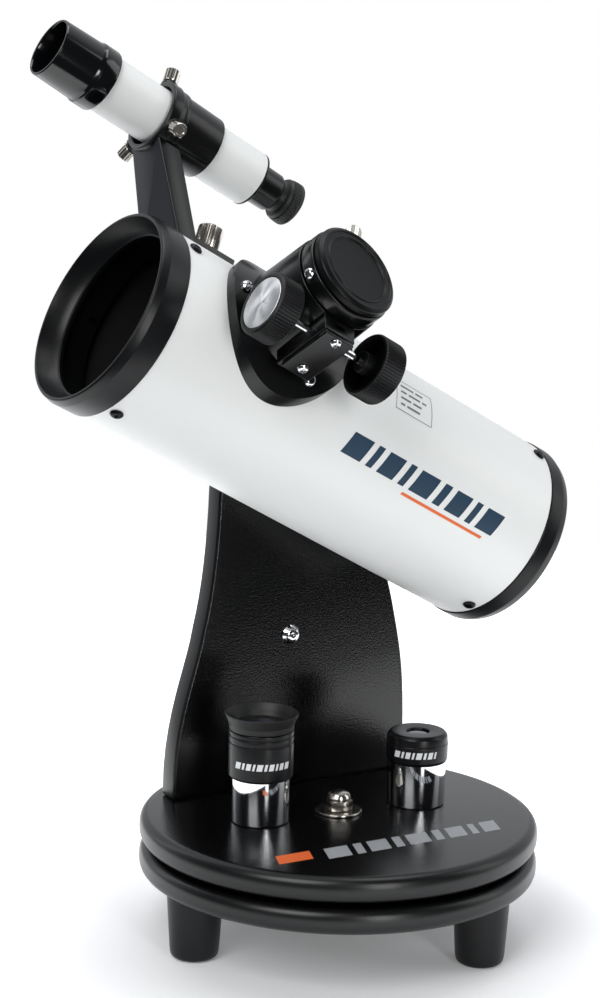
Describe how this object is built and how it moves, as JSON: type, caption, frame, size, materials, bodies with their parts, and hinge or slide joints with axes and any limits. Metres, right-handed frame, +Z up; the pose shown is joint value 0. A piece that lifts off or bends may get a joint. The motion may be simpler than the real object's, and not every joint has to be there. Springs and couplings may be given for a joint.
{
  "type": "reflector telescope",
  "caption": "Tabletop newtonian reflector telescope: short white tube on a single-arm turntable base, with rack focuser, finder and loose eyepieces.",
  "frame": {"origin": "middle of the bounding box at floor level, under the feet", "axes": "+Z up; the arm stands on the +Y side and the tube opens towards -X and up"},
  "size_m": [0.2932, 0.215, 0.4827],
  "materials": {
    "black_vinyl": "stippled black vinyl over particle board",
    "black_plastic": "satin moulded black",
    "nylon": "natural nylon",
    "chrome": "bright plated",
    "rubber": "soft black",
    "white_paint": "satin white paint",
    "black_screw": "blackened",
    "mirror": "first-surface coated",
    "black_anodised": "black anodised",
    "spun_aluminium": "spun face",
    "grey_plastic": "satin moulded charcoal",
    "glass": "polished lens"
  },
  "bodies": {
    "base": {"bottom_board": "black_vinyl", "foot_left": "black_plastic", "foot_front": "black_plastic", "foot_back": "black_plastic", "glide_disc": "nylon", "azimuth_bolt": "chrome", "azimuth_washer": "chrome", "azimuth_nut": "chrome"},
    "turntable": {"top_board": "black_vinyl", "side_arm": "black_vinyl", "arm_bolt": "chrome"},
    "tube": {"altitude_hub": "black_plastic", "altitude_bolt": "chrome", "altitude_friction_washer": "nylon", "altitude_outer_washer": "chrome", "optical_tube": "white_paint", "front_ring": "black_plastic", "rear_cell": "black_plastic", "ring_screw_upper": "black_screw", "ring_screw_lower": "black_screw", "ring_screw_arm_side": "black_screw", "cell_screw_upper": "black_screw", "cell_screw_lower": "black_screw", "cell_screw_arm_side": "black_screw", "primary_mirror": "mirror", "secondary_mirror": "mirror", "secondary_holder": "black_plastic", "spider": "black_anodised", "focuser_housing": "black_plastic", "flange_screw_1": "chrome", "flange_screw_2": "chrome", "flange_screw_3": "chrome", "pinion_cover": "black_plastic", "cover_screw_outer": "chrome", "cover_screw_inner": "chrome", "finder_bracket": "grey_plastic"},
    "altitude_clamp": {"altitude_knob": "black_plastic"},
    "focus_slide": {"drawtube": "black_plastic", "collar_screw": "chrome"},
    "focus_shaft": {"pinion": "chrome", "knob_front": "black_plastic", "knob_rear": "black_plastic", "knob_disc_front": "spun_aluminium", "knob_disc_rear": "spun_aluminium"},
    "cap": {"dust_cap": "black_plastic"},
    "eyepiece_lock": {"eyepiece_thumbscrew": "chrome"},
    "finder_clamp": {"finder_knurled_nut": "chrome"},
    "finder_screw_top": {"finder_screw_top": "chrome"},
    "finder_screw_near": {"finder_screw_near": "chrome"},
    "finder_screw_far": {"finder_screw_far": "chrome"},
    "finder": {"finder_tube": "white_paint", "finder_objective_cell": "black_plastic", "finder_objective_lens": "glass", "finder_eyepiece": "black_plastic"},
    "finder_ocular": {"finder_eyecup": "rubber"},
    "eyepiece_long": {"eyepiece_long_barrel": "chrome", "eyepiece_long_body": "black_plastic", "eyepiece_long_eyecup": "rubber"},
    "eyepiece_short": {"eyepiece_short_barrel": "chrome", "eyepiece_short_body": "black_plastic"}
  },
  "joints": [
    {"name": "azimuth_turn", "type": "hinge", "parent": "base", "child": "turntable", "pos_m": [0.02727, 0, 0.06], "axis": [0, 0, 1], "continuous": true},
    {"name": "altitude_tilt", "type": "hinge", "parent": "turntable", "child": "tube", "pos_m": [0.02727, 0.062, 0.2649], "axis": [0, 1, 0], "range_deg": [-38.6, 61.4]},
    {"name": "altitude_knob_turn", "type": "hinge", "parent": "tube", "child": "altitude_clamp", "pos_m": [0.02727, 0.08, 0.2649], "axis": [0, 1, 0], "range_deg": [0, 180]},
    {"name": "focus_travel", "type": "slide", "parent": "tube", "child": "focus_slide", "axis": [0.3172, -0.749, 0.5818], "range_m": [0, 0.026]},
    {"name": "focus_knob_turn", "type": "hinge", "parent": "tube", "child": "focus_shaft", "pos_m": [-0.03933, -0.0833, 0.33577], "axis": [-0.878, 0, 0.4787], "range_deg": [-332, 0]},
    {"name": "dust_cap_pull", "type": "slide", "parent": "focus_slide", "child": "cap", "axis": [0.3172, -0.749, 0.5818], "range_m": [0, 0.03]},
    {"name": "eyepiece_lock_turn", "type": "hinge", "parent": "focus_slide", "child": "eyepiece_lock", "pos_m": [-0.00907, -0.05638, 0.3804], "axis": [0.5055, 0.6526, 0.5645], "range_deg": [0, 180]},
    {"name": "finder_clamp_turn", "type": "hinge", "parent": "tube", "child": "finder_clamp", "pos_m": [-0.05009, 0.01589, 0.37558], "axis": [0.4498, 0.342, 0.825], "range_deg": [0, 180]},
    {"name": "finder_screw_top_turn", "type": "hinge", "parent": "tube", "child": "finder_screw_top", "pos_m": [-0.06135, 0.03877, 0.45332], "axis": [0.4498, 0.342, 0.825], "range_deg": [0, 180]},
    {"name": "finder_screw_near_turn", "type": "hinge", "parent": "tube", "child": "finder_screw_near", "pos_m": [-0.07308, 0.00958, 0.43181], "axis": [-0.0831, -0.9848, -0.1525], "range_deg": [0, 180]},
    {"name": "finder_screw_far_turn", "type": "hinge", "parent": "tube", "child": "finder_screw_far", "pos_m": [-0.07931, 0.04539, 0.42037], "axis": [-0.3667, 0.6428, -0.6726], "range_deg": [0, 180]},
    {"name": "finder_aim", "type": "hinge", "parent": "tube", "child": "finder", "pos_m": [-0.05544, 0.03125, 0.42655], "axis": [0.1637, -0.9397, 0.3003], "range_deg": [-1, 1]},
    {"name": "finder_focus", "type": "slide", "parent": "finder", "child": "finder_ocular", "axis": [0.8692, -0.0066, -0.4944], "range_m": [0, 0.005]},
    {"name": "eyepiece_long_lift", "type": "slide", "parent": "turntable", "child": "eyepiece_long", "axis": [0, 0, 1], "range_m": [0, 0.02]},
    {"name": "eyepiece_short_lift", "type": "slide", "parent": "turntable", "child": "eyepiece_short", "axis": [0, 0, 1], "range_m": [0, 0.02]}
  ],
  "couplings": [
    {"joint": "focus_knob_turn", "follows": "focus_travel", "rad_per_m": -222.22}
  ]
}
